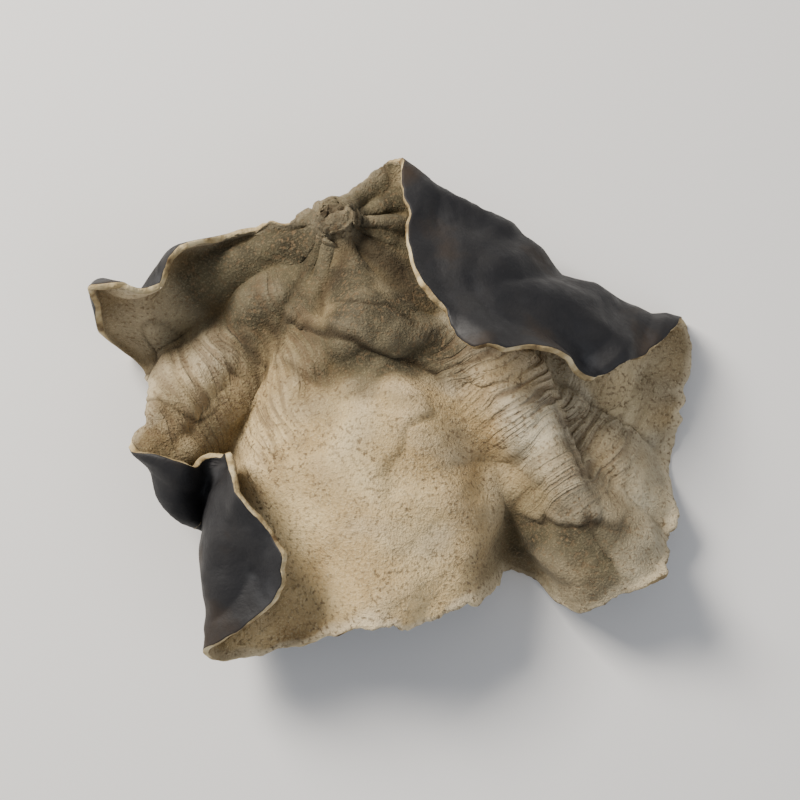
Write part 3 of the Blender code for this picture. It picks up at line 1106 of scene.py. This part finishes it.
@dataclass
class FruitBody:
    """The mushroom: one sheet with its two faces, its rounded margin and the nub of its foot."""

    form: DriedSheet = field(default_factory=DriedSheet)
    crumples: Crumples = field(default_factory=Crumples)
    outline: Outline = field(default_factory=Outline)
    skin: Skin = field(default_factory=Skin)
    cells: int = 214
    sheet: float = 1.1
    margin: float = 0.8
    margin_start: float = 0.88
    margin_round: float = 0.2
    foot: float = 3.6
    foot_size: Pair = (6.0, 9.0)
    scar_reach: float = 3.6
    scar_grain: float = 0.45  # edges longer than this are halved there
    scar_pits: Pairs = ((0.9, 2.2), (0.5, 0.9))  # how deep, over what size
    # the scar's own dark everywhere, and painted shade that deepens in the pits
    scar_dark: Pair = (0.45, 0.9)  # everywhere, and more for each millimetre down
    hollow_sizes: tuple[tuple[int, float], ...] = ((10, 1.6), (50, 0.5))  # rounds of blur, and their weight
    rest_tilt: Pair = (-0.25, -2.62)
    flattened: float = 0.9
    map_gap: float = 0.01
    map_face: float = 0.465
    map_spore: float = 0.505  # where the spore face starts on the map
    map_strip: Pair = (0.978, 0.012)  # where the margin's strip starts, and how wide it is

    def thickness(self, flat: Flat, share: Array) -> Array:
        """Works out the sheet's thickness: even, thinner along the margin, and heaped up over the foot.

        Args:
            flat: the flat places.
            share: their share of the way to the margin.

        Returns:
            The thickness, in millimetres.
        """
        even = self.sheet - (self.sheet - self.margin) * smooth((share - self.margin_start) / (1 - self.margin_start))
        heap = 1 - smooth(np.hypot(flat.x / self.foot_size[0], flat.y / self.foot_size[1]))
        return even + (self.foot - self.sheet) * heap

    def build(self) -> bpy.types.Object:
        """Makes the mesh and dresses it.

        Returns:
            The finished object.
        """
        grid = bmesh.new()
        bmesh.ops.create_grid(grid, x_segments=self.cells, y_segments=self.cells, size=1)
        mesh = bpy.data.meshes.new("fruit_body_skin")
        grid.to_mesh(mesh)
        grid.free()
        square = np.array([v.co for v in mesh.vertices])
        flat, share = self.outline.fill(square[:, 0], square[:, 1])
        middle = self.form.at(flat)
        lift = self.crumples.height(flat) + self.skin.sharp(flat).lift
        middle = middle + self.normals(mesh, middle) * lift[:, None]
        away = self.normals(mesh, middle)
        felt = middle + away * (self.thickness(flat, share) + self.skin.felt(flat))[:, None]
        spore = middle + away * self.skin.spore(flat, share)[:, None]
        hollow = self.hollow(square, felt, away)

        skin = self.solid(mesh)
        solid = skin.data
        solid.vertices.foreach_set("co", (np.concatenate([felt, spore]) * MM).ravel())
        layers = {
            "wrinkle_place": self.skin.wrinkle_place(flat),
            "rubbed_and_edge_lit": self.outline.rim(flat, share),
            "greyed": self.skin.greyed(flat),
            "creased": self.skin.creased(flat),
            "browned": self.skin.browned(flat),
            "wrinkled": self.skin.wrinkled(flat),
        }
        for name, values in layers.items():
            self.keep(solid, name, np.concatenate([values, values]))
        self.keep(solid, "hollow", np.concatenate([hollow, -hollow]))
        self.lay_out_map(solid, square)
        self.round_margin(solid)
        self.tear_foot(solid, Vector(felt[np.argmin(flat.s)]) * MM)
        self.lay_down(solid)
        solid.shade_smooth()
        return skin

    @staticmethod
    def normals(mesh: bpy.types.Mesh, points: Array) -> Array:
        """Sets the mesh's points and reads its vertex normals.

        Args:
            mesh: the open sheet.
            points: where its vertices go.

        Returns:
            The normals, one row of three a vertex.
        """
        mesh.vertices.foreach_set("co", points.ravel())
        mesh.update()
        made = np.empty(len(points) * 3)
        mesh.vertex_normals.foreach_get("vector", made)
        return made.reshape(-1, 3)

    def solid(self, mesh: bpy.types.Mesh) -> bpy.types.Object:
        """Doubles the open sheet into a closed skin, with a material each for its two faces and its margin.

        Args:
            mesh: the open sheet, its normals on the felt side.

        Returns:
            The object. Its first vertices are the felt's, and the spore face's follow in the same order.
        """
        skin = bpy.data.objects.new("fruit_body_skin", mesh)
        bpy.context.scene.collection.objects.link(skin)
        for finish in (Felt(), SporeFace(), MarginSkin()):
            mesh.materials.append(finish.material())
        solidify = skin.modifiers.new("Thickness", "SOLIDIFY")
        solidify.thickness = self.sheet
        solidify.offset = 1
        solidify.material_offset = Side.SPORE.value
        solidify.material_offset_rim = Side.MARGIN.value
        depsgraph = bpy.context.evaluated_depsgraph_get()
        doubled = bpy.data.meshes.new_from_object(skin.evaluated_get(depsgraph))
        skin.modifiers.clear()
        skin.data = doubled
        return skin

    @staticmethod
    def keep(mesh: bpy.types.Mesh, name: str, values: Array) -> None:
        """Stores one number or vector a vertex, for the materials to read.

        Args:
            mesh: the closed skin.
            name: what the materials call it.
            values: one row a vertex.
        """
        single = values.ndim == 1
        layer = mesh.attributes.new(name, "FLOAT" if single else "FLOAT_VECTOR", "POINT")
        layer.data.foreach_set("value" if single else "vector", values.astype(np.float32).ravel())

    @staticmethod
    def triangles(mesh: bpy.types.Mesh) -> int:
        """Counts the triangles that the mesh's faces make."""
        return sum(p.loop_total - 2 for p in mesh.polygons)

    def hollow(self, square: Array, points: Array, away: Array) -> Array:
        """Measures how far each point lies in a hollow (above 0) or on a ridge (below 0).

        Args:
            square: the grid's own places, which give its rows.
            points: the sheet's points.
            away: their normals.

        Returns:
            Millimetres below the surroundings, a fine and a broad size of them added up.
        """
        side = self.cells + 1
        order = np.lexsort((square[:, 0].round(6), square[:, 1].round(6)))
        blurred = points[order].reshape(side, side, 3)
        total = np.zeros(len(points))
        for passes, weight in self.hollow_sizes:
            for axis in (0, 1) * passes:
                rows = np.moveaxis(blurred, axis, 0)
                padded = np.concatenate([rows[:1], rows, rows[-1:]])
                blurred = np.moveaxis((padded[:-2] + 2 * padded[1:-1] + padded[2:]) / 4, 0, axis)
            moved = np.empty_like(points)
            moved[order] = blurred.reshape(-1, 3)
            total += weight * ((moved - points) * away).sum(1)
        return total

    def lay_out_map(self, mesh: bpy.types.Mesh, square: Array) -> None:
        """Lays the two faces side by side on the piece's own map, and the margin in a strip beside them.

        Args:
            mesh: the closed skin.
            square: the grid's own places, -1 to 1.
        """
        share = np.tile((square[:, :2] + 1) / 2, (2, 1))
        round_the_margin = (np.arctan2(*(np.tile(square[:, :2], (2, 1)).T)) / (2 * pi)) % 1
        spore = np.arange(len(share)) >= len(square)
        across = np.where(spore, self.map_spore, self.map_gap) + self.map_face * share[:, 0]
        along = self.map_gap + (1 - 2 * self.map_gap) * share[:, 1]
        start, width = self.map_strip
        own_map = mesh.uv_layers.new(name="OFBake")
        for face in mesh.polygons:
            corners = [mesh.loops[i].vertex_index for i in face.loop_indices]
            if face.material_index != Side.MARGIN.value:
                places = [(across[v], along[v]) for v in corners]
            else:
                turns = [round_the_margin[v] for v in corners]
                if max(turns) - min(turns) > 0.5:
                    turns = [t + 1 if t < 0.5 else t for t in turns]
                length = 1 - 3 * self.map_gap
                places = [(start + width * spore[v], self.map_gap + length * t) for v, t in zip(corners, turns)]
            for i, place in zip(face.loop_indices, places):
                own_map.uv[i].vector = place

    def round_margin(self, mesh: bpy.types.Mesh) -> None:
        """Cuts the margin's strip in three and pushes it out, so that the edge is rounded.

        Args:
            mesh: the closed skin.
        """
        edit = bmesh.new()
        edit.from_mesh(mesh)
        edges = {e for f in edit.faces if f.material_index == Side.MARGIN.value for e in f.edges}
        across = [e for e in edges if all(f.material_index == Side.MARGIN.value for f in e.link_faces)]
        old = set(edit.verts)
        bmesh.ops.subdivide_edges(edit, edges=across, cuts=2, use_grid_fill=True)
        edit.normal_update()
        out = [(v, v.normal.copy()) for v in edit.verts if v not in old]
        for v, normal in out:
            v.co += normal * self.margin_round * MM
        edit.to_mesh(mesh)
        edit.free()

    def tear_foot(self, mesh: bpy.types.Mesh, tip: Vector) -> None:
        """Divides the wide faces at the tip of the foot and pits them, where it was torn off its log, and darkens them:
        the scar's own dark, and painted shade in the pits.

        Args:
            mesh: the closed skin.
            tip: the tip of the foot, in metres.
        """
        edit = bmesh.new()
        edit.from_mesh(mesh)
        reach = self.scar_reach * MM
        for _ in range(2):
            near = [e for e in edit.edges if all((v.co - tip).length < 1.3 * reach for v in e.verts)]
            wide = [e for e in near if e.calc_length() > self.scar_grain * MM]
            bmesh.ops.subdivide_edges(edit, edges=wide, cuts=1, use_grid_fill=True, smooth=0.3)
        edit.normal_update()
        creased = edit.verts.layers.float["creased"]
        dark, darker = self.scar_dark
        moved = []
        for v in edit.verts:
            near = 1 - smooth((v.co - tip).length / reach - 0.5)
            if near > 0:
                pits = sum(depth * noise.fractal(v.co / (size * MM), 0.8, 2.0, 2) for depth, size in self.scar_pits)
                moved.append((v, v.co + v.normal * near * pits * MM))
                # The scar's own dark, with painted shade that grows in the pits.
                v[creased] += near * (dark - darker * pits - v[creased])
        for v, place in moved:
            v.co = place
        edit.to_mesh(mesh)
        edit.free()

    def lay_down(self, mesh: bpy.types.Mesh) -> None:
        """Turns the solid to the way it lies, brings it down, and flattens what presses on the surface.

        Args:
            mesh: the closed skin.
        """
        mesh.transform(Euler((radians(self.rest_tilt[0]), radians(self.rest_tilt[1]), 0)).to_matrix().to_4x4())
        points = np.array([v.co for v in mesh.vertices])
        low, high = points.min(0), points.max(0)
        points -= ((low[0] + high[0]) / 2, (low[1] + high[1]) / 2, low[2] + self.flattened * MM)
        points[:, 2] = np.maximum(points[:, 2], 0)
        mesh.vertices.foreach_set("co", points.ravel())
        mesh.update()


# ---------------------------------------------------------------------------------------------- studio


@dataclass(frozen=True)
class Lamp:
    """One square soft light that looks at the middle of the floor: metres, watts and an sRGB hex colour."""

    name: str
    place: Triple
    size: float
    power: float
    colour: str


@dataclass
class Studio:
    """A pale floor, soft light and the camera, which looks down on the mushroom."""

    floor_half: float = 2.0
    floor_colour: str = "#E9E8E6"
    lamps: tuple[Lamp, ...] = (
        Lamp("key", (-0.40, 0.32, 0.46), 0.28, 8.5, "#FFF8EE"),
        Lamp("fill", (0.50, -0.40, 0.45), 0.60, 1.6, "#EEF3FF"),
    )
    world_colour: str = "#F2F5FA"
    world_strength: float = 0.40
    elevation: float = 79.0
    lens: float = 70.0
    distance: float = 0.285

    def build(self) -> None:
        """Makes the floor, the world, the lamps and the camera."""
        self.floor()
        self.light()
        self.camera()

    def floor(self) -> None:
        """Lays the pale floor."""
        plane = bmesh.new()
        bmesh.ops.create_grid(plane, x_segments=1, y_segments=1, size=self.floor_half)
        mesh = bpy.data.meshes.new("floor")
        plane.to_mesh(mesh)
        plane.free()
        floor = bpy.data.objects.new("floor", mesh)
        bpy.context.scene.collection.objects.link(floor)
        card = bpy.data.materials.new("matt_pale_card")
        card.use_nodes = True
        shader = card.node_tree.nodes["Principled BSDF"]
        shader.inputs["Base Color"].default_value = linear(self.floor_colour)
        shader.inputs["Roughness"].default_value = 0.9
        mesh.materials.append(card)

    def light(self) -> None:
        """Sets an even world and hangs the lamps."""
        world = bpy.data.worlds.new("studio")
        bpy.context.scene.world = world
        world.use_nodes = True
        world.node_tree.nodes["Background"].inputs["Color"].default_value = linear(self.world_colour)
        world.node_tree.nodes["Background"].inputs["Strength"].default_value = self.world_strength
        for lamp in self.lamps:
            light = bpy.data.lights.new(lamp.name, "AREA")
            light.size = lamp.size
            light.energy = lamp.power
            light.color = linear(lamp.colour)[:3]
            hung = bpy.data.objects.new(lamp.name, light)
            hung.location = lamp.place
            hung.rotation_euler = (-Vector(lamp.place)).to_track_quat("-Z", "Y").to_euler()
            bpy.context.scene.collection.objects.link(hung)

    def camera(self) -> None:
        """Looks down on the middle of the mushroom from the front."""
        low, high = CAD_BOX
        middle = (low + high) / 2
        back = Vector((0, -cos(radians(self.elevation)), sin(radians(self.elevation))))
        lens = bpy.data.cameras.new("camera")
        lens.lens = self.lens
        lens.clip_start = 0.01
        camera = bpy.data.objects.new("camera", lens)
        camera.location = middle + back * self.distance
        camera.rotation_euler = (-back).to_track_quat("-Z", "Y").to_euler()
        bpy.context.scene.collection.objects.link(camera)
        bpy.context.scene.camera = camera


def main() -> None:
    """Builds the mushroom and its studio."""
    log.info("standing in for: %s", ", ".join(frame["nodes"]))
    body = FruitBody().build()
    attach(body, "root")
    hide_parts("fruit_body")
    log.info("fruit_body_skin: %d triangles", FruitBody.triangles(body.data))
    Studio().build()


if __name__ == "__main__":
    main()
